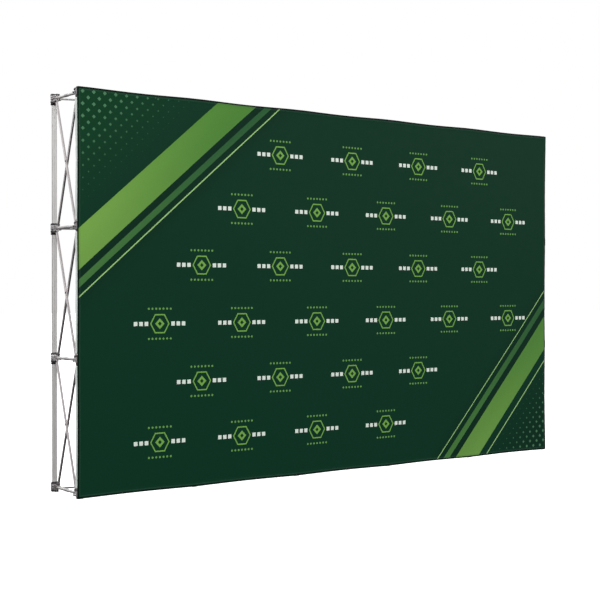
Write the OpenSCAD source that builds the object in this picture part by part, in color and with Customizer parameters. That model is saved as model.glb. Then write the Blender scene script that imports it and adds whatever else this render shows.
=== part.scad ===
// Pop up display backwall: a folding lattice of hubs and crossed flat bars,
// with one stretched fabric graphic held to its front by hook pads.
// Front faces -Y, +X runs along the wall, +Z is up. The hubs of the lowest row
// stand on the floor at Z = 0. Millimetres.

/* [Lattice] */
// Distance from one hub to the next, both along the wall and upwards
pitch = 738; // [600:1:800]
// Number of hub columns along the wall
columns = 6; // [6:1:6]
// Number of hub rows
rows = 4; // [4:1:4]
// Distance between the front and the rear pivot planes
pivot_depth = 242; // [180:1:300]

/* [Hubs] */
// Width of the hub plate
hub_w = 44; // [38:1:56]
// Height of the hub plate
hub_h = 57; // [56:1:62]
// Thickness of the hub plate
hub_t = 6; // [4:0.5:8]
// Distance from the hub's centre to each of its four pivots
pivot_off = 17; // [17:0.5:18]
// Depth of the pivots behind the plate's outer face
pivot_in = 44; // [38:1:50]
// Thickness of one clevis ear
ear_t = 3; // [2.5:0.5:3.5]
// Radius of the pivot pins
pin_r = 2.5; // [2:0.1:2.6]
// Radius of the pins' flat heads
head_r = 5; // [3.5:0.5:5]
// Height of the round boss on a rear hub's outer face
boss_h = 2.5; // [1:0.1:4]

/* [Bars] */
// Width of a flat lattice bar
bar_w = 15; // [13:0.5:15]
// Thickness of a flat lattice bar
bar_t = 8; // [7:0.5:8]
// Wall of the hollow bar
bar_wall = 1.2; // [1:0.1:2]

/* [Locking struts] */
// Radius of a strut rod
strut_r = 8; // [4:0.5:8]
// Radius of the magnet sleeve at a strut's tip
sleeve_r = 9; // [8.5:0.1:9]

/* [Rear channel bars] */
// Width of a channel bar
chan_w = 28; // [24:1:30]
// Depth of a channel bar
chan_d = 8; // [7:1:10]
// Wall of a channel bar
chan_wall = 1.6; // [1.2:0.1:1.8]
// Depth of the two grooves along its front face
chan_groove = 2; // [1:0.5:2]
// Height of the dark hanger block on a channel bar's upper end
hanger_h = 9; // [6:1:12]

/* [Graphic] */
// Width of the fabric graphic
graphic_w = 3730; // [3725:1:3750]
// Height of the fabric graphic
graphic_h = 2268; // [2262:1:2275]
// Thickness of the fabric with its loop backing
graphic_t = 2; // [1.5:0.1:3]
// Depth of the white bands that stand behind the two ends
band_d = 25; // [15:1:30]
// Thickness of a hook pad
pad_t = 3; // [2:0.5:4]

/* [Hidden] */
$fn = 48;
fit = 0.06;                       // radial running clearance on a pin
gap = 0.3;                        // pad to fabric
off = bar_t / 2 + 0.5;            // each bar's offset from the hub's centre plane
slot = bar_t + 0.4;               // width of a clevis slot
ear_r = 8;
run = pitch - 2 * pivot_off;      // pivot to pivot, along the wall
bar_len = sqrt(run * run + pivot_depth * pivot_depth);
ang = atan(pivot_depth / run);    // how far an open bar slants
depth = graphic_t + gap + pad_t + 2 * pivot_in + pivot_depth + boss_h;
y_graphic = -depth / 2;
y_front = y_graphic + graphic_t + gap + pad_t;   // outer faces of the front hubs
y_rear = depth / 2 - boss_h;                     // outer faces of the rear hubs
yf = y_front + pivot_in;                         // front pivot plane
yr = y_rear - pivot_in;                          // rear pivot plane
half = (y_rear - y_front) / 2;                   // from a hub's outer face to mid depth
z0 = hub_h / 2;
function xc(i) = (i - (columns - 1) / 2) * pitch;
function zr(j) = z0 + j * pitch;

// A rectangle w by h with rounded corners
module round_rect(w, h, r) {
    square([w, h - 2 * r], center = true);
    square([w - 2 * r, h], center = true);
    for (x = [-1, 1]) for (y = [-1, 1])
        translate([x * (w / 2 - r), y * (h / 2 - r)]) circle(r = r);
}

// One ear in its own plane: it stands on the plate and carries the pivot
module ear_outline() {
    difference() {
        union() {
            translate([6, hub_t - 1]) square([pivot_off + ear_r - 6, pivot_in - hub_t + 1]);
            translate([pivot_off, pivot_in]) circle(r = ear_r);
            translate([6, hub_t - 1]) square([pivot_off - 6, pivot_in - hub_t + 5]);
        }
        translate([pivot_off, pivot_in]) circle(r = pin_r + 0.02);
    }
}

// The two ears of the clevis on the hub's +X side, a slot apart
module clevis() {
    for (s = [-1, 1])
        translate([0, 0, off + s * (slot + ear_t) / 2 - ear_t / 2])
            linear_extrude(ear_t) ear_outline();
}

// A pin with two flat heads, along Z through the clevis on the +X side
module clevis_pin() {
    reach = slot / 2 + ear_t;
    translate([pivot_off, pivot_in, off]) {
        cylinder(r = pin_r, h = 2 * reach + 1, center = true);
        for (s = [-1, 1]) translate([0, 0, s * (reach + 1.1)])
            cylinder(r = head_r, h = 2, center = true);
    }
}

// The two short rivets of the lower clevis, which leave its slot free
module clevis_stubs() {
    translate([pivot_off, pivot_in, off])
        for (s = [-1, 1]) {
            translate([0, 0, s * (slot / 2 + ear_t / 2 + 0.35)])
                cylinder(r = pin_r, h = ear_t + 0.5, center = true);
            translate([0, 0, s * (slot / 2 + ear_t + 1.1)])
                cylinder(r = head_r, h = 2, center = true);
        }
}

// Puts a clevis that is drawn on +X on the hub's side s: 0 is +X, 1 is up, 2 is -X, 3 is down.
// Seen from the front, each one is turned a quarter on, so opposite bars pass side by side.
module on_side(s) { rotate([0, -90 * s, 0]) children(); }

// The moulded hub. Its outer face is at Y = 0 and it looks towards +Y. A bossed hub
// carries a round boss on that face.
module hub(bossed) {
    difference() {
        union() {
            rotate([-90, 0, 0]) linear_extrude(hub_t) round_rect(hub_w, hub_h, 8);
            rotate([-90, 0, 0]) cylinder(r = strut_r + 3, h = pivot_in - 10);
            for (s = [0:3]) on_side(s) clevis();
            if (bossed) translate([0, -boss_h, 0]) rotate([-90, 0, 0]) cylinder(r = 12, h = boss_h + 1);
        }
        // socket for the locking strut
        translate([0, 20, 0]) rotate([-90, 0, 0]) cylinder(r = strut_r + 0.03, h = 100);
    }
}

// The pins of one hub
module hub_pins() {
    for (s = [0:2]) on_side(s) clevis_pin();
    on_side(3) clevis_stubs();
}

// Half of a locking strut. The nosed half stands on the front hub, the bored half on the rear.
module strut_half(nosed) {
    difference() {
        union() {
            translate([0, 20.3, 0]) rotate([-90, 0, 0]) cylinder(r = strut_r, h = half - 30);
            translate([0, half - 19, 0]) rotate([-90, 0, 0]) cylinder(r = sleeve_r, h = 18.7);
            if (nosed) translate([0, half - 10, 0]) rotate([-90, 0, 0]) cylinder(r = 3, h = 17);
        }
        if (!nosed) translate([0, half - 9, 0]) rotate([-90, 0, 0]) cylinder(r = 3.1, h = 20);
    }
}

// The square hook pad on a front hub's outer face
module hook_pad() {
    translate([0, -pad_t, 0]) rotate([-90, 0, 0]) linear_extrude(pad_t - 0.05) round_rect(36, 44, 5);
}

// A column of front hubs with their pins, strut halves and hook pads
module front_hubs(i) {
    for (j = [0:rows - 1]) translate([xc(i), y_front, zr(j)]) {
        color([0.42, 0.41, 0.42]) hub(false);
        color([0.16, 0.15, 0.16]) hub_pins();
        color([0.55, 0.55, 0.56]) strut_half(true);
        color([0.1, 0.1, 0.1]) hook_pad();
    }
}

// A column of rear hubs with their pins and strut halves. The end columns also hold
// the channel bars between the edges of their plates, each with its hanger block on top.
module rear_hubs(i) {
    for (j = [0:rows - 1]) translate([xc(i), y_rear, zr(j)]) rotate([0, 0, 180]) {
        color([0.42, 0.41, 0.42]) hub(true);
        color([0.16, 0.15, 0.16]) hub_pins();
        color([0.55, 0.55, 0.56]) strut_half(false);
    }
    if (i == 0 || i == columns - 1)
        for (j = [0:rows - 2]) {
            translate([xc(i), y_rear - chan_d, zr(j) + hub_h / 2 + 0.05])
                channel_bar(pitch - hub_h - hanger_h - 0.15);
            translate([xc(i), y_rear - chan_d / 2, zr(j + 1) - hub_h / 2 - 0.05 - hanger_h]) hanger_block();
        }
}

// The moulded block that hangs a channel bar under the hub above it
module hanger_block() {
    color([0.16, 0.15, 0.16]) linear_extrude(hanger_h) round_rect(42, chan_d + 1.5, 2);
}

// A hollow channel bar of length h with two grooves along its front face and a solid block at each end
module channel_bar(h) {
    color([0.72, 0.72, 0.72])
        difference() {
            translate([-chan_w / 2, 0, 0]) cube([chan_w, chan_d, h]);
            for (s = [-1, 1]) translate([s * (chan_w / 4 - 0.2) - chan_w / 4 + 1.8, -1, 20])
                cube([chan_w / 2 - 3.6, chan_groove + 1, h - 40]);
            translate([-chan_w / 2 + chan_wall, chan_groove + chan_wall, 20])
                cube([chan_w - 2 * chan_wall, chan_d - chan_groove - 2 * chan_wall, h - 40]);
        }
}

// A flat hollow bar from pivot to pivot along +X, with its three pivot holes
module flat_bar() {
    color([0.62, 0.61, 0.61])
    difference() {
        translate([0, 0, -bar_t / 2]) linear_extrude(bar_t) difference() {
            union() {
                translate([0, -bar_w / 2]) square([bar_len, bar_w]);
                for (x = [0, bar_len]) translate([x, 0]) circle(r = bar_w / 2);
            }
            for (x = [0, bar_len / 2, bar_len]) translate([x, 0]) circle(r = pin_r + fit);
        }
        translate([16, -bar_w / 2 + bar_wall, -bar_t / 2 + bar_wall])
            cube([bar_len - 32, bar_w - 2 * bar_wall, bar_t - 2 * bar_wall]);
    }
}

// The rivet and its washer that hold two crossed bars together at their middles
module centre_rivet() {
    color([0.2, 0.19, 0.2]) {
        cylinder(r = pin_r, h = 2 * (off + bar_t / 2) + 1, center = true);
        cylinder(r = 6.5, h = 0.9, center = true);
        for (s = [-1, 1]) translate([0, 0, s * (off + bar_t / 2 + 0.8)])
            cylinder(r = 5, h = 1.5, center = true);
    }
}

// Bars of one bay that run from the front left hubs to the rear right hubs, with the rivets
module level_bars_a(i) {
    for (j = [0:rows - 1]) {
        translate([xc(i) + pivot_off, yf, zr(j) + off]) rotate([0, 0, ang]) flat_bar();
        translate([xc(i) + pitch / 2, (yf + yr) / 2, zr(j)]) centre_rivet();
    }
}

// Bars of one bay that run from the rear left hubs to the front right hubs
module level_bars_b(i) {
    for (j = [0:rows - 1])
        translate([xc(i) + pivot_off, yr, zr(j) - off]) rotate([0, 0, -ang]) flat_bar();
}

// The bar of column i that runs from front hub j up to rear hub j + 1, with its rivet
module upright_bar_a(i, j) {
    translate([xc(i) - off, yf, zr(j) + pivot_off])
        rotate([-ang, 0, 0]) rotate([0, -90, 0]) flat_bar();
    translate([xc(i), (yf + yr) / 2, zr(j) + pitch / 2]) rotate([0, 90, 0]) centre_rivet();
}

// The bar of column i that runs from rear hub j up to front hub j + 1
module upright_bar_b(i, j) {
    translate([xc(i) + off, yr, zr(j) + pivot_off])
        rotate([ang, 0, 0]) rotate([0, -90, 0]) flat_bar();
}

// The fabric graphic with its loop backing
module graphic() {
    color([0.08, 0.25, 0.18])
        translate([-graphic_w / 2, y_graphic, 3]) cube([graphic_w, graphic_t, graphic_h]);
}

// White bands sewn behind the graphic's two ends, one length in each bay of height,
// so that the ends of the hubs stay free between them
module graphic_end_bands() {
    color([0.86, 0.9, 0.87])
        for (s = [-1, 1]) for (j = [0:rows - 2])
            translate([s * (graphic_w / 2 - 0.6) - 0.6, y_graphic + graphic_t, zr(j) + 32])
                cube([1.2, band_d, pitch - 64]);
}

for (i = [1:columns]) {
    front_hubs(i - 1);
    rear_hubs(i - 1);
}
for (i = [1:columns - 1]) {
    level_bars_a(i - 1);
    level_bars_b(i - 1);
}
for (i = [1:columns]) for (j = [1:rows - 1]) {
    upright_bar_a(i - 1, j - 1);
    upright_bar_b(i - 1, j - 1);
}
graphic();
graphic_end_bands();
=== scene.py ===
"""Pop up display backwall: the looks of a folding lattice wall with one stretched fabric graphic.

Everything is in metres in the row frame: the graphic faces -Y, +X runs along the wall, +Z is up.
"""

import math

import bpy
import numpy as np
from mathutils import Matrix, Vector


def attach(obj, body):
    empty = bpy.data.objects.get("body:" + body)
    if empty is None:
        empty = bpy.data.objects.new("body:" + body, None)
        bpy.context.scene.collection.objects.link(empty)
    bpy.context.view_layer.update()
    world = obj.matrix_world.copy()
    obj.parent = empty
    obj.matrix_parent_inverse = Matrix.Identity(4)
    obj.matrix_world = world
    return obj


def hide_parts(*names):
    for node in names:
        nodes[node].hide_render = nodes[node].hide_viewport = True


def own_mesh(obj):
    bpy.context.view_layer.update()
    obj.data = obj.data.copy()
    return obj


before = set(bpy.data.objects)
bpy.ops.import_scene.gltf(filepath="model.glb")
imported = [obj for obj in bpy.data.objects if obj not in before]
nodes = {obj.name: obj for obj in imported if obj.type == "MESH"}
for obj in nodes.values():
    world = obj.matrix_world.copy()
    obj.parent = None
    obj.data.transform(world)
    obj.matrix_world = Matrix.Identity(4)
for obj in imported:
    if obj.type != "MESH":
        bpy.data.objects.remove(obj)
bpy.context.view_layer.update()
scene = bpy.context.scene

# ---------------------------------------------------------------- sizes, from the CAD
W, H = 3.730, 2.268  # fabric
X0, Z0 = -1.865, 0.003  # its lower left corner
Y_FACE = -0.1689  # its front face
PITCH, N_COL, N_ROW = 0.738, 6, 4
COLS = [(i - 2.5) * PITCH for i in range(N_COL)]
ROWS = [0.0285 + j * PITCH for j in range(N_ROW)]
Y_FRONT, Y_REAR = -0.1636, 0.1664  # outer faces of the hub plates
SLANT = math.atan2(0.242, PITCH - 0.034)  # how far an open bar slants


def srgb(r, g, b):
    """A colour, given 0 to 255, as linear light."""
    out = []
    for c in (r, g, b):
        c /= 255
        out.append(c / 12.92 if c <= 0.04045 else ((c + 0.055) / 1.055) ** 2.4)
    return (*out, 1.0)


# ---------------------------------------------------------------- camera
cam_data = bpy.data.cameras.new("camera")
camera = bpy.data.objects.new("camera", cam_data)
scene.collection.objects.link(camera)
camera.location = (-4.918, -6.39225, 1.131)
camera.rotation_euler = (math.radians(89.71), 0, math.radians(-36.29))
cam_data.sensor_width = 36
cam_data.lens = 74.6
cam_data.clip_start, cam_data.clip_end = 0.05, 200
scene.camera = camera
scene.view_settings.view_transform = "Standard"
scene.view_settings.look = "None"


# ---------------------------------------------------------------- shader arithmetic
class Val:
    """One number in a node tree, with the usual arithmetic."""

    def __init__(self, tree, socket):
        self.tree, self.socket = tree, socket

    def _do(self, op, *others, clamp=False):
        n = self.tree.nodes.new("ShaderNodeMath")
        n.operation, n.use_clamp = op, clamp
        for k, x in enumerate((self, *others)):
            if isinstance(x, Val):
                self.tree.links.new(x.socket, n.inputs[k])
            else:
                n.inputs[k].default_value = x
        return Val(self.tree, n.outputs[0])

    def __add__(self, o):
        return self._do("ADD", o)

    __radd__ = __add__

    def __sub__(self, o):
        return self._do("SUBTRACT", o)

    def __rsub__(self, o):
        return (self * -1.0) + o

    def __mul__(self, o):
        return self._do("MULTIPLY", o)

    __rmul__ = __mul__

    def __truediv__(self, o):
        return self._do("DIVIDE", o)

    def abs(self):
        return self._do("ABSOLUTE")

    def floor(self):
        return self._do("FLOOR")

    def fract(self):
        return self._do("FRACT")

    def sin(self):
        return self._do("SINE")

    def mod(self, o):
        return self._do("FLOORED_MODULO", o)

    def pow(self, o):
        return self._do("POWER", o)

    def max(self, o):
        return self._do("MAXIMUM", o)

    def min(self, o):
        return self._do("MINIMUM", o)

    def below(self, o):
        return self._do("LESS_THAN", o)

    def above(self, o):
        return self._do("GREATER_THAN", o)

    def clamp(self):
        return self._do("ADD", 0.0, clamp=True)

    def ramp(self, lo, hi):
        """0 at lo and 1 at hi, smooth between them."""
        n = self.tree.nodes.new("ShaderNodeMapRange")
        n.interpolation_type = "SMOOTHSTEP"
        self.tree.links.new(self.socket, n.inputs["Value"])
        n.inputs["From Min"].default_value = lo
        n.inputs["From Max"].default_value = hi
        return Val(self.tree, n.outputs["Result"])


def between(x, lo, hi):
    return x.above(lo) * x.below(hi)


def hypot(a, b):
    return (a * a + b * b).pow(0.5)


def mix(tree, factor, a, b, blend="MIX"):
    """Mixes two colours; each is a colour or a socket."""
    n = tree.nodes.new("ShaderNodeMix")
    n.data_type, n.blend_type = "RGBA", blend
    n.clamp_factor = True
    if isinstance(factor, Val):
        tree.links.new(factor.socket, n.inputs["Factor"])
    else:
        n.inputs["Factor"].default_value = factor
    for name, x in (("A", a), ("B", b)):
        sock = [s for s in n.inputs if s.name == name and s.type == "RGBA"][0]
        if isinstance(x, tuple):
            sock.default_value = x
        else:
            tree.links.new(x, sock)
    return [s for s in n.outputs if s.type == "RGBA"][0]


def new_material(name):
    m = bpy.data.materials.new(name)
    m.use_nodes = True
    t = m.node_tree
    t.nodes.clear()
    out = t.nodes.new("ShaderNodeOutputMaterial")
    b = t.nodes.new("ShaderNodeBsdfPrincipled")
    t.links.new(b.outputs[0], out.inputs["Surface"])
    return m, t, b


def noise(tree, vector, scale, detail=3.0, rough=0.55, distort=0.0):
    n = tree.nodes.new("ShaderNodeTexNoise")
    n.inputs["Scale"].default_value = scale
    n.inputs["Detail"].default_value = detail
    n.inputs["Roughness"].default_value = rough
    n.inputs["Distortion"].default_value = distort
    if vector is not None:
        tree.links.new(vector, n.inputs["Vector"])
    return Val(tree, n.outputs["Fac"])


def object_coords(tree, scale=(1, 1, 1), turn=(0, 0, 0)):
    """Coordinates on the piece itself, turned and then stretched, so a grain can run along a bar."""
    c = tree.nodes.new("ShaderNodeTexCoord")
    out = c.outputs["Object"]
    if turn != (0, 0, 0):
        m = tree.nodes.new("ShaderNodeMapping")
        m.vector_type = "POINT"
        m.inputs["Rotation"].default_value = turn
        tree.links.new(out, m.inputs["Vector"])
        out = m.outputs[0]
    if scale != (1, 1, 1):
        m = tree.nodes.new("ShaderNodeVectorMath")
        m.operation = "MULTIPLY"
        tree.links.new(out, m.inputs[0])
        m.inputs[1].default_value = scale
        out = m.outputs[0]
    return out


def bump(tree, shader, height, distance, strength=1.0, under=None):
    n = tree.nodes.new("ShaderNodeBump")
    n.inputs["Strength"].default_value = strength
    n.inputs["Distance"].default_value = distance
    tree.links.new(height.socket, n.inputs["Height"])
    if under is not None:
        tree.links.new(under, n.inputs["Normal"])
    tree.links.new(n.outputs[0], shader.inputs["Normal"])
    return n.outputs[0]


def edge_mask(tree, radius):
    """1 along sharp edges and 0 on flat faces, for the rub marks there."""
    bev = tree.nodes.new("ShaderNodeBevel")
    bev.samples = 4
    bev.inputs["Radius"].default_value = radius
    geo = tree.nodes.new("ShaderNodeNewGeometry")
    d = tree.nodes.new("ShaderNodeVectorMath")
    d.operation = "DOT_PRODUCT"
    tree.links.new(bev.outputs[0], d.inputs[0])
    tree.links.new(geo.outputs["Normal"], d.inputs[1])
    return (1.0 - Val(tree, d.outputs["Value"])).ramp(0.004, 0.09), bev.outputs[0]


# ---------------------------------------------------------------- the print
PALE, WHITE = srgb(158, 204, 128), srgb(226, 236, 226)


def build_print():
    """The graphic's print as a node group: a plain dark green with corner bands, a lattice of diamonds and a
    staggered field of hexagons over rows of squares and dots. It reads the UV map, which is in metres."""
    g = bpy.data.node_groups.new("print_pattern", "ShaderNodeTree")
    g.interface.new_socket("Color", in_out="OUTPUT", socket_type="NodeSocketColor")
    g.interface.new_socket("Ink", in_out="OUTPUT", socket_type="NodeSocketFloat")
    out = g.nodes.new("NodeGroupOutput")
    uv = g.nodes.new("ShaderNodeUVMap")
    uv.uv_map = "flat"
    sep = g.nodes.new("ShaderNodeSeparateXYZ")
    g.links.new(uv.outputs[0], sep.inputs[0])
    u, v = Val(g, sep.outputs[0]), Val(g, sep.outputs[1])

    # ground: lighter at the top, with a slow drift of tone
    ground = mix(g, v.ramp(-0.2, 2.5), srgb(5, 53, 35), srgb(9, 53, 35))
    drift = noise(g, uv.outputs[0], 0.9, 2.0)
    ground = mix(g, drift.ramp(0.3, 0.75) * 0.35, ground, srgb(8, 52, 34))

    # the two accented corners: s counts from the upper left corner, q from the lower right
    s = u * 0.648 + (H - v) * 0.762
    along_s = u * 0.762 - (H - v) * 0.648
    q = (W - u) * 0.735 + v * 0.678
    along_q = (W - u) * 0.678 - v * 0.735

    # the ground behind the diamonds: a little yellower in the upper corner, deeper in the lower one
    ground = mix(g, (1.0 - s.ramp(0.15, 0.66)) * 0.85, ground, srgb(11, 61, 34))
    ground = mix(g, (1.0 - q.ramp(0.10, 0.56)) * 0.80, ground, srgb(3, 45, 28))

    # soft shade that the bands throw on the ground beside them
    shade = (1.0 - (s - 0.80).abs().ramp(0.0, 0.20)) * 0.55
    shade = shade.max((1.0 - (q - 0.70).abs().ramp(0.0, 0.18)) * 0.55)
    colour = mix(g, shade, ground, srgb(4, 33, 21))

    # diamonds in the corners, smaller towards the middle of the print
    p = 0.068
    du = ((u + v) / p).fract() - 0.5
    dv = ((u - v) / p).fract() - 0.5
    size_s = 0.175 * (1.0 - s.ramp(0.12, 0.66))
    size_q = 0.175 * (1.0 - q.ramp(0.10, 0.56))
    size = size_s.max(size_q)
    d = du.abs().max(dv.abs())
    tint = mix(g, s.min(q).ramp(0.05, 0.60), srgb(88, 138, 102), srgb(36, 86, 58))
    colour = mix(g, (size - d).above(0.0) * size.above(0.02) * 0.85, colour, tint)

    # bands: a broad one, a narrow one and a fine line
    for c, t, lo, hi, first, last in (
        (s, along_s, 0.60, 0.775, srgb(124, 172, 78), srgb(84, 138, 58)),
        (s, along_s, 0.815, 0.850, srgb(70, 120, 62), srgb(44, 92, 54)),
        (q, along_q, 0.50, 0.660, srgb(84, 136, 60), srgb(112, 160, 74)),
        (q, along_q, 0.705, 0.745, srgb(46, 92, 54), srgb(74, 126, 62)),
    ):
        tone = mix(g, t.ramp(-0.8, 0.8), first, last)
        edge = mix(g, (c - lo).ramp(0.0, hi - lo) * 0.18, tone, srgb(60, 110, 52))
        colour = mix(g, between(c, lo, hi), colour, edge)
    line = between(s, 0.885, 0.892).max(between(q, 0.440, 0.447)).max(
        between(q, 0.782, 0.788)
    )
    colour = mix(g, line, colour, PALE)

    # the staggered field
    cp, rp, u0, v0 = 0.565, 0.340, 0.2375, 0.106
    row = ((v - v0) / rp).floor()
    lv = (v - v0) - row * rp - rp / 2
    shift = row.mod(2.0) * (cp / 2)
    col = ((u - u0 - shift) / cp).floor()
    lu = (u - u0 - shift) - col * cp - cp / 2
    uc, vc = u - lu, v - lv
    keep = between(vc, 0.22, 2.06) * between(uc, 0.26, W - 0.26)
    keep = keep * (uc * 0.648 + (H - vc) * 0.762).above(1.02)
    keep = keep * ((W - uc) * 0.735 + vc * 0.678).above(0.93)

    # a hexagon with a square in it
    hexa = (lu.abs() * 0.8660254 + lv.abs() * 0.5).max(lv.abs())
    ring = between(hexa, 0.048, 0.0555)
    core = between(lu.abs() + lv.abs(), 0.013, 0.031)
    colour = mix(g, keep * ring.max(core), colour, srgb(118, 170, 76))

    # three white squares on each side of it
    sp = 0.0350
    off_u = lu.abs() - 0.070
    su = (off_u / sp).fract() - 0.5
    sq = (su.abs().max((lv / sp).abs())).below(0.34) * between(off_u, 0.0, 3 * sp)
    colour = mix(g, keep * sq, colour, WHITE)

    # a row of dots above and below
    dp = 0.0240
    eu = ((lu + 3.5 * dp) / dp).fract() - 0.5
    ew = (lv.abs() - 0.086) / dp
    dots = hypot(eu, ew).below(0.27) * lu.abs().below(3.5 * dp)
    colour = mix(g, keep * dots, colour, srgb(104, 156, 78))

    # how the ink sits on the knit: a fine mottle
    fine = noise(g, uv.outputs[0], 420.0, 2.0, 0.6)
    colour = mix(g, fine.ramp(0.35, 0.7) * 0.14, colour, srgb(6, 24, 18))
    g.links.new(colour, out.inputs["Color"])
    g.links.new(fine.socket, out.inputs["Ink"])
    return g


PRINT = build_print()


def knit(tree, vector, pitch_m):
    """Height of a fine rib knit: rows of loops, staggered."""
    sep = tree.nodes.new("ShaderNodeSeparateXYZ")
    tree.links.new(vector, sep.inputs[0])
    u, v = Val(tree, sep.outputs[0]), Val(tree, sep.outputs[1])
    k = 2 * math.pi / pitch_m
    return (u * k).sin() * 0.5 + (v * (k * 0.62) + (u * (k * 0.5)).sin() * 1.2).sin() * 0.5


def uv_node(tree):
    n = tree.nodes.new("ShaderNodeUVMap")
    n.uv_map = "flat"
    return n.outputs[0]


def mat_print():
    m, t, b = new_material("printed_knit")
    g = t.nodes.new("ShaderNodeGroup")
    g.node_tree = PRINT
    uv = uv_node(t)
    sep = t.nodes.new("ShaderNodeSeparateXYZ")
    t.links.new(uv, sep.inputs[0])
    u, v = Val(t, sep.outputs[0]), Val(t, sep.outputs[1])
    # painted shade: the last millimetres darken towards the rolled edge, and the paler strip just inside them is a
    # painted highlight on the hem
    d = u.min(W - u).min(v.min(H - v))
    colour = mix(t, between(d, 0.0115, 0.0170) * 0.22, g.outputs["Color"], srgb(58, 98, 78))
    colour = mix(t, (1.0 - d.ramp(0.0080, 0.0115)) * 0.93, colour, srgb(2, 13, 9))
    t.links.new(colour, b.inputs["Base Color"])
    soft = noise(t, uv, 14.0, 3.0)
    rough = 0.52 + soft * 0.16
    t.links.new(rough.socket, b.inputs["Roughness"])
    b.inputs["Sheen Weight"].default_value = 0.02
    b.inputs["Sheen Roughness"].default_value = 0.4
    b.inputs["Specular IOR Level"].default_value = 0.07
    h = knit(t, uv, 0.0011)
    first = t.nodes.new("ShaderNodeBump")
    first.inputs["Distance"].default_value = 0.004
    first.inputs["Strength"].default_value = 0.25
    t.links.new(noise(t, uv, 5.0, 2.0).socket, first.inputs["Height"])
    bump(t, b, h, 0.00008, 0.35, first.outputs[0])
    return m


def mat_back():
    """The loop side of the fabric: off-white, napped, with the print showing faintly through."""
    m, t, b = new_material("loop_backing")
    g = t.nodes.new("ShaderNodeGroup")
    g.node_tree = PRINT
    uv = uv_node(t)
    nap = noise(t, uv, 900.0, 3.0, 0.7)
    cloud = noise(t, uv, 6.0, 3.0)
    base = mix(t, cloud.ramp(0.3, 0.7) * 0.5, srgb(206, 210, 207), srgb(192, 198, 195))
    base = mix(t, nap.ramp(0.35, 0.75) * 0.35, base, srgb(168, 176, 172))
    shown = mix(t, 0.50, base, g.outputs["Color"])
    t.links.new(shown, b.inputs["Base Color"])
    b.inputs["Roughness"].default_value = 0.92
    b.inputs["Sheen Weight"].default_value = 0.25
    b.inputs["Specular IOR Level"].default_value = 0.15
    bump(t, b, nap, 0.0004, 0.6)
    return m


def mat_cloth(name, light, dark, rough, weave=0.0012):
    m, t, b = new_material(name)
    c = object_coords(t)
    sep = t.nodes.new("ShaderNodeSeparateXYZ")
    t.links.new(c, sep.inputs[0])
    x, y, z = (Val(t, s) for s in sep.outputs)
    k = 2 * math.pi / weave
    h = ((x + y) * k).sin() * (z * k).sin()
    cloud = noise(t, c, 30.0, 4.0)
    base = mix(t, cloud.ramp(0.3, 0.7), light, dark)
    base = mix(t, h.ramp(-1.0, 1.0) * 0.2, base, dark)
    t.links.new(base, b.inputs["Base Color"])
    b.inputs["Roughness"].default_value = rough
    b.inputs["Sheen Weight"].default_value = 0.15
    b.inputs["Specular IOR Level"].default_value = 0.25
    bump(t, b, h, 0.0001, 0.5)
    return m


def mat_metal(name, light, dark, turn, rough=0.27, metallic=0.96, streak=(6, 900, 900), narrow=None, wide=0):
    """Satin anodised aluminium, drawn along its length, with rubbed edges. Narrow sides may get a darker tone, which
    is painted shade; wide says along which axis the wide faces look."""
    m, t, b = new_material(name)
    c = object_coords(t, streak, turn)
    grain = noise(t, c, 1.0, 3.0, 0.6)
    blot = noise(t, object_coords(t), 9.0, 4.0)
    wear, rounded = edge_mask(t, 0.0011)
    base = mix(t, grain.ramp(0.30, 0.72), dark, light)
    base = mix(t, blot.ramp(0.45, 0.80) * 0.18, base, dark)
    # painted shade: the narrow sides are darkened
    if narrow is not None:
        coord = t.nodes.new("ShaderNodeTexCoord")
        own = t.nodes.new("ShaderNodeSeparateXYZ")
        t.links.new(coord.outputs["Normal"], own.inputs[0])
        narrow_side_shade = 1.0 - Val(t, own.outputs[wide]).abs().ramp(0.35, 0.80)
        base = mix(t, narrow_side_shade * 0.85, base, narrow)
    base = mix(t, wear * (0.35 if narrow is None else 0.15), base, srgb(222, 222, 220))
    t.links.new(base, b.inputs["Base Color"])
    b.inputs["Metallic"].default_value = metallic
    r = rough + (grain - 0.5) * 0.22 + (blot - 0.5) * 0.14 - wear * 0.08
    t.links.new(r.clamp().socket, b.inputs["Roughness"])
    bump(t, b, grain, 0.00004, 0.6, rounded)
    return m


def mat_moulded(name, light, dark, rough, metallic=0.0, grain_m=0.0006, worn=srgb(214, 214, 214), wear_share=0.5,
                level=0.5):
    """Moulded plastic with a fine spark-eroded grain and paler rubbed edges."""
    m, t, b = new_material(name)
    c = object_coords(t)
    grain = noise(t, c, 1.0 / grain_m, 2.0, 0.6)
    cloud = noise(t, c, 35.0, 4.0)
    wear, rounded = edge_mask(t, 0.0012)
    nick = noise(t, c, 160.0, 3.0)
    base = mix(t, cloud.ramp(0.3, 0.7), dark, light)
    base = mix(t, wear * (0.35 + nick * 0.65) * wear_share, base, worn)
    t.links.new(base, b.inputs["Base Color"])
    b.inputs["Metallic"].default_value = metallic
    b.inputs["Specular IOR Level"].default_value = level
    r = rough + (grain - 0.5) * 0.12 + (cloud - 0.5) * 0.10
    t.links.new(r.clamp().socket, b.inputs["Roughness"])
    bump(t, b, grain, 0.00008, 0.5, rounded)
    return m


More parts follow.
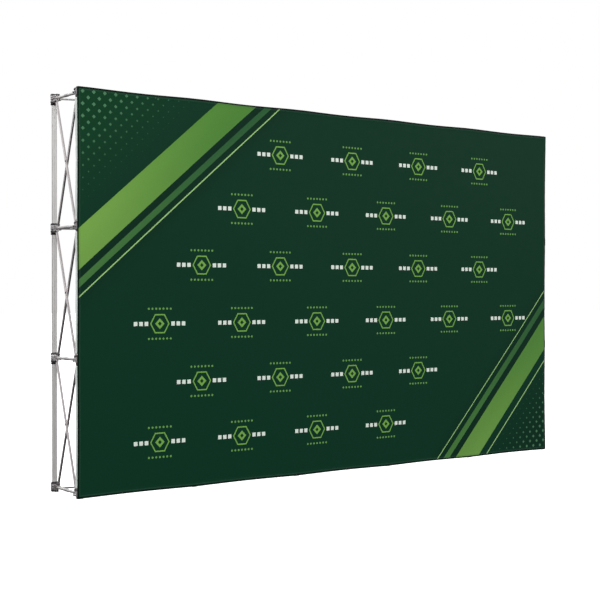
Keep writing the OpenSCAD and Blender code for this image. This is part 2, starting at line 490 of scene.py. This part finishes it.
def mat_hub():
    """The hub moulding: pale round the middle, where the bars and the strut leave it, and dark at both ends, which is
    painted shade from the ears and pins.
    """
    m = mat_moulded("hub_moulding", srgb(240, 236, 237), srgb(208, 204, 206), 0.36, 0.12, 0.0006, srgb(246, 245, 245), 0.8)
    t = m.node_tree
    b = [n for n in t.nodes if n.type == "BSDF_PRINCIPLED"][0]
    pale = b.inputs["Base Color"].links[0].from_socket
    c = object_coords(t)
    sep = t.nodes.new("ShaderNodeSeparateXYZ")
    t.links.new(c, sep.inputs[0])
    height = Val(t, sep.outputs[2])
    z = (height - (ROWS[0] - PITCH / 2)).mod(PITCH) - PITCH / 2
    blot = noise(t, c, 60.0, 3.0)
    # painted shade: the front hubs, which sit behind the cloth, and the lowest ones are darkened
    painted_hub_shade = (1.0 - Val(t, sep.outputs[1]).ramp(-0.08, 0.0)).max((1.0 - height.ramp(0.03, 0.12)) * 0.9)
    pale = mix(t, painted_hub_shade * (0.62 + blot * 0.2), pale, srgb(116, 112, 113))
    # the dark ends are painted shade from the ears and pins, with a crisp line between them and the middle
    dark = mix(t, blot.ramp(0.3, 0.7), srgb(62, 60, 61), srgb(92, 89, 91))
    wear, _ = edge_mask(t, 0.0009)
    dark = mix(t, wear * 0.35, dark, srgb(190, 188, 188))
    t.links.new(mix(t, z.abs().ramp(0.0157, 0.0163), pale, dark), b.inputs["Base Color"])
    return m


def mat_hooks():
    """Moulded hook tape: close rows of small stems."""
    m, t, b = new_material("hook_tape")
    c = object_coords(t)
    sep = t.nodes.new("ShaderNodeSeparateXYZ")
    t.links.new(c, sep.inputs[0])
    x, z = Val(t, sep.outputs[0]), Val(t, sep.outputs[2])
    k = 2 * math.pi / 0.0016
    h = ((x * k).sin() * 0.5 + 0.5) * ((z * k).sin() * 0.5 + 0.5)
    fuzz = noise(t, c, 700.0, 3.0, 0.7)
    base = mix(t, h.ramp(0.1, 0.7), srgb(14, 14, 15), srgb(48, 48, 50))
    base = mix(t, fuzz.ramp(0.5, 0.8) * 0.5, base, srgb(70, 70, 72))
    t.links.new(base, b.inputs["Base Color"])
    b.inputs["Roughness"].default_value = 0.72
    bump(t, b, h + fuzz * 0.4, 0.0005, 0.8)
    return m


M_PRINT, M_BACK = mat_print(), mat_back()
M_HEM = mat_cloth("hem_turn", srgb(24, 56, 43), srgb(12, 36, 27), 0.66)
M_THREAD = mat_cloth("hem_thread", srgb(36, 74, 56), srgb(22, 52, 40), 0.5, 0.0006)
M_BAND = mat_cloth("white_band", srgb(224, 232, 227), srgb(209, 219, 213), 0.82)
M_BAND_THREAD = mat_cloth("band_thread", srgb(230, 236, 232), srgb(206, 215, 210), 0.55, 0.0006)
# the level bars are given darker tones than the uprights: painted shade, as all the bars share one finish
LEVEL_SHADED_TONES = (srgb(166, 167, 164), srgb(132, 133, 131))
M_LEVEL_A = mat_metal("level_bar_a_metal", *LEVEL_SHADED_TONES, (0, 0, -SLANT))
M_LEVEL_B = mat_metal("level_bar_b_metal", *LEVEL_SHADED_TONES, (0, 0, SLANT))
# the a uprights are paler and the b uprights, whose front edges face down, darker, each with darker narrow sides: lit
# and shaded copies of one finish, painted light and shade
M_UP_A = mat_metal("upright_bar_a_metal", srgb(246, 240, 241), srgb(226, 219, 221), (SLANT - math.radians(90), 0, 0), metallic=0.2, streak=(900, 6, 900), narrow=srgb(158, 150, 152))
M_UP_B = mat_metal("upright_bar_b_metal", srgb(222, 216, 218), srgb(190, 184, 186), (math.radians(90) - SLANT, 0, 0), metallic=0.8, streak=(900, 6, 900), narrow=srgb(98, 92, 94))
# the channel's narrow flanks take a darker tone, which is painted shade
M_CHANNEL = mat_metal("channel_metal", srgb(238, 236, 235), srgb(214, 212, 211), (0, 0, 0), rough=0.42, metallic=0.5, streak=(900, 900, 5), narrow=srgb(148, 146, 144), wide=1)
M_HUB = mat_hub()
M_PIN = mat_moulded("dark_rivet", srgb(24, 22, 24), srgb(11, 10, 11), 0.45, 0.0, 0.0004, srgb(70, 70, 72), 0.3, 0.22)
M_ROD = mat_metal("strut_rod", srgb(242, 239, 239), srgb(220, 217, 217), (0, 0, 0), rough=0.28, metallic=0.6, streak=(900, 6, 900))
M_SLEEVE = mat_moulded("strut_sleeve", srgb(200, 196, 198), srgb(168, 164, 166), 0.34, 0.5, 0.0006, srgb(210, 210, 212), 0.3)
M_CAP = mat_moulded("hub_cap", srgb(70, 69, 71), srgb(48, 47, 49), 0.40, 0.0, 0.0005, srgb(140, 140, 142), 0.5)
M_HOOKS = mat_hooks()


# ---------------------------------------------------------------- the CAD nodes' finishes
def islands(me):
    """The number of the loose part each polygon belongs to, with parts joined by place, and each part's box."""
    n = len(me.vertices)
    co = np.zeros(n * 3, np.float32)
    me.vertices.foreach_get("co", co)
    co = co.reshape(-1, 3)
    _, same = np.unique(np.round(co / 2e-6).astype(np.int64), axis=0, return_inverse=True)
    same = same.reshape(-1)
    tri = np.zeros(len(me.loops), np.int32)
    me.loops.foreach_get("vertex_index", tri)
    start = np.zeros(len(me.polygons), np.int32)
    me.polygons.foreach_get("loop_start", start)
    tri = same[tri.reshape(-1, 3)] if len(tri) == 3 * len(start) else None
    assert tri is not None, "the frame's meshes are triangles"
    label = np.arange(same.max() + 1)
    while True:
        low = label[tri].min(1)
        new = label.copy()
        for k in range(3):
            np.minimum.at(new, tri[:, k], low)
        new = new[new]
        if (new == label).all():
            break
        label = new
    part = label[tri[:, 0]]
    keys, part = np.unique(part, return_inverse=True)
    part = part.reshape(-1)
    points = np.zeros((same.max() + 1, 3), np.float32)
    points[same] = co
    corner = points[tri]
    centre = corner.mean(1)
    boxes = []
    for k in range(len(keys)):
        c = corner[part == k].reshape(-1, 3)
        boxes.append((c.min(0), c.max(0)))
    return part, boxes, centre


def finish_hubs(o):
    me = o.data
    part, boxes, centre = islands(me)
    me.materials.clear()
    for m in (M_HUB, M_PIN, M_ROD, M_HOOKS, M_CHANNEL, M_SLEEVE):
        me.materials.append(m)
    index = np.zeros(len(me.polygons), np.int32)
    for k, (lo, hi) in enumerate(boxes):
        dx, dy, dz = hi - lo
        if dz > 0.5:
            kind = 4
        elif dy > 0.10:
            kind = 2
        elif dy < 0.0035 and dx > 0.03:
            kind = 3
        elif dx > 0.040 and dz > 0.05:
            kind = 0
        else:
            kind = 1
        here = part == k
        index[here] = kind
        if kind == 2:
            mid = (lo + hi) / 2
            r = np.hypot(centre[:, 0] - mid[0], centre[:, 2] - mid[2])
            index[here & (r > 0.0083)] = 5
    me.polygons.foreach_set("material_index", index)
    me.update()


def finish_bars(o, metal):
    me = o.data
    part, boxes, _ = islands(me)
    me.materials.clear()
    me.materials.append(metal)
    me.materials.append(M_PIN)
    index = np.zeros(len(me.polygons), np.int32)
    for k, (lo, hi) in enumerate(boxes):
        if (hi - lo).max() < 0.05:
            index[part == k] = 1
    me.polygons.foreach_set("material_index", index)
    me.update()


for name, o in nodes.items():
    if name.startswith(("front_hubs", "rear_hubs")):
        finish_hubs(o)
    elif name.startswith("level_bars_a"):
        finish_bars(o, M_LEVEL_A)
    elif name.startswith("level_bars_b"):
        finish_bars(o, M_LEVEL_B)
    elif name.startswith("upright_bar_a"):
        finish_bars(o, M_UP_A)
    elif name.startswith("upright_bar_b"):
        finish_bars(o, M_UP_B)


# ---------------------------------------------------------------- the fabric's shape
def scallop(t, marks, clear):
    """0 on each stretch held by a hub and 1 midway between two hubs."""
    out = np.zeros_like(t)
    for a, b in zip(marks[:-1], marks[1:]):
        k = np.clip((t - a - clear) / (b - a - 2 * clear), 0, 1)
        out = np.maximum(out, np.sin(np.pi * k) ** 1.3)
    return out


CORNER = 0.0085  # radius of the fabric's corners


def fabric_point(u, v):
    """Where the flat point (u, v) of the fabric hangs: its front face, before thickness."""
    u, v = np.asarray(u, float), np.asarray(v, float)
    x, z = X0 + u, Z0 + v
    # rounded corners
    a = np.clip(CORNER - np.minimum(u, W - u) + 0 * v, 0, CORNER)
    b = np.clip(CORNER - np.minimum(v, H - v) + 0 * u, 0, CORNER)
    pull = 1 - np.maximum(a, b) / np.maximum(np.hypot(a, b), 1e-9)
    x = x + a * pull * np.where(u < W / 2, 1, -1)
    z = z + b * pull * np.where(v < H / 2, 1, -1)
    y = np.full_like(x + z, Y_FACE + 0.0004)
    # the free edges are drawn in between the hubs that hold them
    side = scallop(z + 0 * x, ROWS, 0.040)
    ends = scallop(x + 0 * z, COLS, 0.045)
    x = x + side * 0.0020 * np.exp(-np.abs(u) / 0.16)
    bow = np.sin(np.pi * np.clip(v / H, 0, 1)) ** 0.8  # the right end is drawn in over its whole height
    x = x - (side * 0.0030 + bow * 0.0062) * np.exp(-np.abs(u - W) / 0.16)
    z = z - ends * 0.0042 * np.exp(-np.abs(v - H) / 0.12)
    z = z + ends * 0.0030 * np.exp(-np.abs(v) / 0.12)
    # between the hook pads the sheet lies a little deeper, with slight tension ridges from pad to pad
    bay = np.abs(np.sin(np.pi * (x - COLS[0]) / PITCH)) * np.abs(np.sin(np.pi * (z - ROWS[0]) / PITCH))
    inside = ((x > COLS[0]) & (x < COLS[-1])).astype(float)
    y = y + 0.0006 * bay * inside
    y = y + 0.00020 * np.sin(2 * np.pi * (x * 3.1 + 0.35 * np.sin(z * 2.3))) * np.exp(-np.minimum(v, H - v) / 0.10)
    # puckers along the hem
    near = np.exp(-np.minimum(v, H - v) / 0.022)
    y = y + 0.00028 * near * (np.sin(2 * np.pi * u / 0.083 + 1.3 * np.sin(u * 5.1)) + 0.5 * np.sin(2 * np.pi * u / 0.041 + u))
    near = np.exp(-np.minimum(u, W - u) / 0.022)
    y = y + 0.00028 * near * (np.sin(2 * np.pi * v / 0.091 + 1.1 * np.sin(v * 4.3)) + 0.5 * np.sin(2 * np.pi * v / 0.047 + v))
    return x, y, z


def graded(length, step, near):
    """Grid lines that are close at both ends and evenly spaced between."""
    inner = length - 2 * near[-1]
    n = int(round(inner / step))
    mid = near[-1] + inner * np.arange(1, n) / n
    return np.concatenate([near, mid, length - np.array(near[::-1])])


EDGE_LINES = [0.0, 0.0012, 0.0032, 0.007, 0.012, 0.0168, 0.0180, 0.0192, 0.0206, 0.0226, 0.026, 0.034, 0.048]
FOLD, STITCH = 0.022, 0.0180  # the hem's depth and where its stitch line runs


def hem_rise(d):
    """How far the turned hem stands above the single cloth at distance d from the edge, with the stitch line's groove."""
    up = 0.00055 * (1 - np.clip((d - 0.0206) / 0.004, 0, 1) ** 2)
    up = np.where(d > 0.0246, 0, up)
    round_off = 0.0006 * (1 - np.clip(d / 0.0032, 0, 1)) ** 2
    groove = 0.00042 * np.exp(-(((d - STITCH) / 0.0009) ** 2))
    return up - round_off - groove


def mesh_object(name, verts, faces, uvs=None, mats=(), index=None, smooth=True):
    me = bpy.data.meshes.new(name)
    me.from_pydata([tuple(p) for p in verts], [], faces)
    if uvs is not None:
        layer = me.uv_layers.new(name="flat")
        loops = np.zeros(len(me.loops), np.int32)
        me.loops.foreach_get("vertex_index", loops)
        layer.data.foreach_set("uv", np.asarray(uvs, np.float32)[loops].reshape(-1))
    for m in mats:
        me.materials.append(m)
    if index is not None:
        me.polygons.foreach_set("material_index", np.asarray(index, np.int32))
    me.polygons.foreach_set("use_smooth", np.full(len(me.polygons), smooth))
    me.update()
    o = bpy.data.objects.new(name, me)
    scene.collection.objects.link(o)
    return o


def build_fabric():
    us = graded(W, 0.0145, EDGE_LINES)
    vs = graded(H, 0.0145, EDGE_LINES)
    U, V = np.meshgrid(us, vs)
    nu, nv = len(us), len(vs)
    x, y, z = fabric_point(U, V)
    d = np.minimum(np.minimum(U, W - U), np.minimum(V, H - V))
    front = np.stack([x, y - hem_rise(d), z], -1).reshape(-1, 3)
    thick = 0.0009 + 0.0003 * (1 - np.clip((d - FOLD) / 0.0015, 0, 1))
    thick = thick * (0.35 + 0.65 * np.clip(d / 0.0012, 0, 1))
    back = np.stack([x, y + thick, z], -1).reshape(-1, 3)
    verts = np.concatenate([front, back])
    uv = np.stack([U, V], -1).reshape(-1, 2)
    uvs = np.concatenate([uv, uv])
    faces, index = [], []
    base = nu * nv
    flat_d = d
    for r in range(nv - 1):
        for c in range(nu - 1):
            a = r * nu + c
            faces.append((a, a + 1, a + 1 + nu, a + nu))
            index.append(0)
            b = a + base
            faces.append((b, b + nu, b + 1 + nu, b + 1))
            m = (flat_d[r, c] + flat_d[r + 1, c + 1]) / 2
            index.append(2 if m < FOLD else 1)
    for c in range(nu - 1):
        faces.append((c, c + base, c + 1 + base, c + 1))
        t = (nv - 1) * nu + c
        faces.append((t, t + 1, t + 1 + base, t + base))
        index += [2, 2]
    for r in range(nv - 1):
        a = r * nu
        faces.append((a, a + nu, a + nu + base, a + base))
        t = r * nu + nu - 1
        faces.append((t, t + base, t + nu + base, t + nu))
        index += [2, 2]
    return mesh_object("graphic_fabric", verts, faces, uvs, (M_PRINT, M_BACK, M_HEM), index)


def stitch_mesh(name, places, size, mat):
    """Short raised stitches: each place is (centre, along, out)."""
    l, w, h = size
    verts, faces = [], []
    for centre, along, out in places:
        side = np.cross(along, out)
        c = np.asarray(centre, float)
        k = len(verts)
        ring = [
            c - along * l / 2 - out * 0.0002,
            c - along * l * 0.28 + side * w / 2,
            c + along * l * 0.28 + side * w / 2,
            c + along * l / 2 - out * 0.0002,
            c + along * l * 0.28 - side * w / 2,
            c - along * l * 0.28 - side * w / 2,
            c - along * l * 0.2 + out * h,
            c + along * l * 0.2 + out * h,
        ]
        verts += ring
        faces += [
            (k, k + 6, k + 1), (k + 1, k + 6, k + 7, k + 2), (k + 2, k + 7, k + 3),
            (k + 3, k + 7, k + 4), (k + 4, k + 7, k + 6, k + 5), (k + 5, k + 6, k),
            (k, k + 1, k + 2, k + 3, k + 4, k + 5),
        ]
    return mesh_object(name, verts, faces, None, (mat,))


def hem_stitches():
    step, places = 0.0062, []
    out = np.array([0, -1.0, 0])
    n = int((W - 2 * STITCH) / step)
    for v in (STITCH, H - STITCH):
        us = STITCH + (np.arange(n) + 0.5) * (W - 2 * STITCH) / n
        x, y, z = fabric_point(us, np.full_like(us, v))
        for p in zip(x, y - hem_rise(np.full_like(us, STITCH)) - 0.00005, z):
            places.append((p, np.array([1.0, 0, 0]), out))
    n = int((H - 2 * STITCH) / step)
    for u in (STITCH, W - STITCH):
        vs = STITCH + (np.arange(n) + 0.5) * (H - 2 * STITCH) / n
        x, y, z = fabric_point(np.full_like(vs, u), vs)
        for p in zip(x, y - hem_rise(np.full_like(vs, STITCH)) - 0.00005, z):
            places.append((p, np.array([0, 0, 1.0]), out))
    return stitch_mesh("graphic_hem_stitches", places, (0.0040, 0.0008, 0.0004), M_THREAD)


BAND_LEN = PITCH - 0.064
BAND_DEPTH = [0.0, 0.0015, 0.004, 0.009, 0.014, 0.0185, 0.0205, 0.0225, 0.0242, 0.0252]
BAND_THICK = [0.0003, 0.0007, 0.0006, 0.0005, 0.0005, 0.0005, 0.0009, 0.0011, 0.0009, 0.0002]


def band_line(u_edge, s, bay, w):
    """The band's middle surface: points along one bay, w metres up it, as x(depth share) and y, z of its sewn edge."""
    zs = ROWS[bay] + 0.032 + w
    x, y, _ = fabric_point(np.full_like(zs, u_edge), zs - Z0)
    free = np.sin(np.pi * np.clip(w / BAND_LEN, 0, 1)) ** 1.3
    turn = 0.0012 * np.sin(w * 11.0 + bay * 2.1 + (0 if s < 0 else 1.7)) * free
    wave = 0.0006 * np.sin(2 * np.pi * w / 0.11 + bay) * free

    def at(f):
        return x - s * 0.0009 - s * (0.0010 * free * f + turn * f * f) + wave * f

    return at, y + 0.0012, zs


def build_band(side, bay):
    """A white band behind one end of the fabric, in one bay of height: sewn along the fabric's edge, it stands
    back from it and ends in a rolled hem."""
    u_edge, s = (0.0, -1.0) if side == "left" else (W, 1.0)
    w = np.linspace(0.0, BAND_LEN, 90)
    at, y, z = band_line(u_edge, s, bay, w)
    # the two cut ends are turned in: the cloth is thicker there and its corners are round
    turned = np.clip(1 - np.minimum(w, BAND_LEN - w) / 0.010, 0, 1)
    verts = []
    columns = [(d, t, 1.0) for d, t in zip(BAND_DEPTH, BAND_THICK)]
    columns += [(d, t, -0.3) for d, t in zip(BAND_DEPTH[::-1], BAND_THICK[::-1])]
    for k in range(len(w)):
        short = 0.0022 * max(0.0, 1 - min(w[k], BAND_LEN - w[k]) / 0.004) ** 2
        for d, t, out in columns:
            f = d / BAND_DEPTH[-1]
            cx = at(f)[k]
            verts.append((cx + s * out * t * (1 + 0.5 * turned[k]), y[k] + d - short * f, z[k]))
    n = len(columns)
    faces = []
    for k in range(len(w) - 1):
        for j in range(n):
            a, b = k * n + j, k * n + (j + 1) % n
            q = (a, b, b + n, a + n)
            faces.append(q if s < 0 else q[::-1])
    first, last = tuple(range(n)), tuple((len(w) - 1) * n + j for j in range(n))
    faces += [first[::-1], last] if s < 0 else [first, last[::-1]]
    return mesh_object(f"end_band_{side}_{bay + 1}", verts, faces, None, (M_BAND,))


def band_stitches():
    places = []
    for u_edge, s in ((0.0, -1.0), (W, 1.0)):
        for bay in range(N_ROW - 1):
            n = int((BAND_LEN - 0.008) / 0.0056)
            w = 0.004 + (np.arange(n) + 0.5) * (BAND_LEN - 0.008) / n
            at, y, z = band_line(u_edge, s, bay, w)
            for share in (0.0035, 0.0200):
                cx = at(share / BAND_DEPTH[-1]) + s * 0.00085
                for p in zip(cx, y + share, z):
                    places.append((p, np.array([0, 0, 1.0]), np.array([s, 0, 0])))
    return stitch_mesh("end_band_stitches", places, (0.0036, 0.0007, 0.00035), M_BAND_THREAD)


fabric = build_fabric()
stitches = hem_stitches()
bands = [build_band(side, bay) for side in ("left", "right") for bay in range(N_ROW - 1)]
band_thread = band_stitches()
for o in (fabric, stitches, *bands, band_thread):
    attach(o, "graphic")
    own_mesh(o)
fabric.visible_glossy = False  # the bars mirror the studio, not the cloth a hand's breadth before them
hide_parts("graphic")
for o in bands:
    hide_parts("graphic_end_bands")


# ---------------------------------------------------------------- caps on the rear hubs
def lathe(profile, centre, facing, sides=48):
    """A turned cap on the line centre + facing * height. The profile holds (radius, height, corners), from the
    middle of its face out to its foot; corners of 6 make that ring a hexagon."""
    verts, faces = [], []
    cx, cy, cz = centre
    for radius, height, corners in profile:
        for k in range(sides):
            a = 2 * math.pi * k / sides
            r = radius
            if corners:
                step = 2 * math.pi / corners
                b = (a % step) - step / 2
                r = radius * math.cos(step / 2) / math.cos(b)
            verts.append((cx + r * math.cos(a), cy + facing * height, cz + r * math.sin(a)))
    n = len(profile)
    for i in range(n - 1):
        for k in range(sides):
            a, b = i * sides + k, i * sides + (k + 1) % sides
            q = (a, b, b + sides, a + sides)
            faces.append(q[::-1] if facing < 0 else q)
    verts.append((cx, cy + facing * profile[0][1], cz))
    c = len(verts) - 1
    for k in range(sides):
        tri = (c, (k + 1) % sides, k)
        faces.append(tri[::-1] if facing < 0 else tri)
    foot = tuple((n - 1) * sides + k for k in range(sides))
    faces.append(foot if facing < 0 else foot[::-1])
    return verts, faces


CAP = [
    (0.0030, 0.0026, 6), (0.0031, 0.0040, 6), (0.0036, 0.0043, 0), (0.0058, 0.0045, 0), (0.0076, 0.0041, 0),
    (0.0080, 0.0031, 0), (0.0088, 0.0028, 0), (0.0096, 0.0032, 0), (0.0120, 0.0032, 0), (0.0129, 0.0026, 0),
    (0.0131, 0.0000, 0),
]


def add_caps(i):
    verts, faces = [], []
    for z in ROWS:
        v, f = lathe(CAP, (COLS[i], Y_REAR, z), 1.0)
        faces += [tuple(k + len(verts) for k in q) for q in f]
        verts += v
    o = mesh_object(f"rear_hub_caps_{i + 1}", verts, faces, None, (M_CAP,))
    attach(o, f"rear_column_{i + 1}")


for i in range(N_COL):
    add_caps(i)


# ---------------------------------------------------------------- studio
def build_floor():
    m, t, b = new_material("studio_floor")
    c = object_coords(t)
    n = noise(t, c, 3.0, 3.0)
    t.links.new(mix(t, n.ramp(0.2, 0.8) * 0.3, srgb(252, 252, 252), srgb(248, 248, 248)), b.inputs["Base Color"])
    b.inputs["Roughness"].default_value = 0.9
    b.inputs["Specular IOR Level"].default_value = 0.0
    b.inputs["Emission Color"].default_value = (1, 1, 1, 1)
    b.inputs["Emission Strength"].default_value = 0.72
    s = 60
    o = mesh_object("floor", [(-s, -s, 0), (s, -s, 0), (s, s, 0), (-s, s, 0)], [(0, 1, 2, 3)], None, (m,))
    # the floor is only looked at: the metal mirrors the darker lower half of the studio instead
    o.visible_glossy = False
    o.visible_diffuse = False


build_floor()


def area_light(name, where, at, size, power, spread=180):
    d = bpy.data.lights.new(name, "AREA")
    d.shape, d.size, d.size_y = "RECTANGLE", size[0], size[1]
    d.energy = power
    d.spread = math.radians(spread)
    o = bpy.data.objects.new(name, d)
    scene.collection.objects.link(o)
    o.location = where
    o.rotation_euler = (Vector(at) - Vector(where)).to_track_quat("-Z", "Y").to_euler()
    return o


area_light("key", (-4.5, -6.5, 6.0), (0, 0, 1.0), (5.0, 3.0), 300)
area_light("fill", (5.5, -6.0, 4.5), (0, 0, 1.0), (5.0, 3.0), 138)
area_light("back_left", (-6.0, 3.5, 3.6), (-1.4, 0, 1.1), (2.4, 2.4), 95)
area_light("back_right", (4.5, 5.5, 4.5), (0, 0, 1.1), (4.0, 3.0), 170)


def build_world():
    """White to look at. What lights the object is a bright upper half over a dark lower half."""
    world = bpy.data.worlds.new("studio")
    scene.world = world
    world.use_nodes = True
    t = world.node_tree
    t.nodes.clear()
    out = t.nodes.new("ShaderNodeOutputWorld")
    seen, lit = t.nodes.new("ShaderNodeBackground"), t.nodes.new("ShaderNodeBackground")
    seen.inputs["Color"].default_value = (1, 1, 1, 1)
    coord = t.nodes.new("ShaderNodeTexCoord")
    sep = t.nodes.new("ShaderNodeSeparateXYZ")
    t.links.new(coord.outputs["Generated"], sep.inputs[0])
    up = Val(t, sep.outputs[2])
    tone = mix(t, up.ramp(-0.34, 0.06), (0.022, 0.021, 0.021, 1), (0.74, 0.735, 0.735, 1))
    tone = mix(t, up.ramp(0.10, 0.70), tone, (1.10, 1.10, 1.10, 1))
    # a dark flag behind the wall's left end draws the grey in the flat sides of that end's bars
    side = Val(t, sep.outputs[0]) * -0.62 + Val(t, sep.outputs[1]) * 0.78
    flag = side.ramp(0.45, 0.92) * (1.0 - up.ramp(0.12, 0.50)) * 0.86
    tone = mix(t, flag, tone, (0.045, 0.043, 0.043, 1))
    t.links.new(tone, lit.inputs["Color"])
    path = t.nodes.new("ShaderNodeLightPath")
    pick = t.nodes.new("ShaderNodeMixShader")
    t.links.new(path.outputs["Is Camera Ray"], pick.inputs[0])
    t.links.new(lit.outputs[0], pick.inputs[1])
    t.links.new(seen.outputs[0], pick.inputs[2])
    t.links.new(pick.outputs[0], out.inputs["Surface"])


build_world()
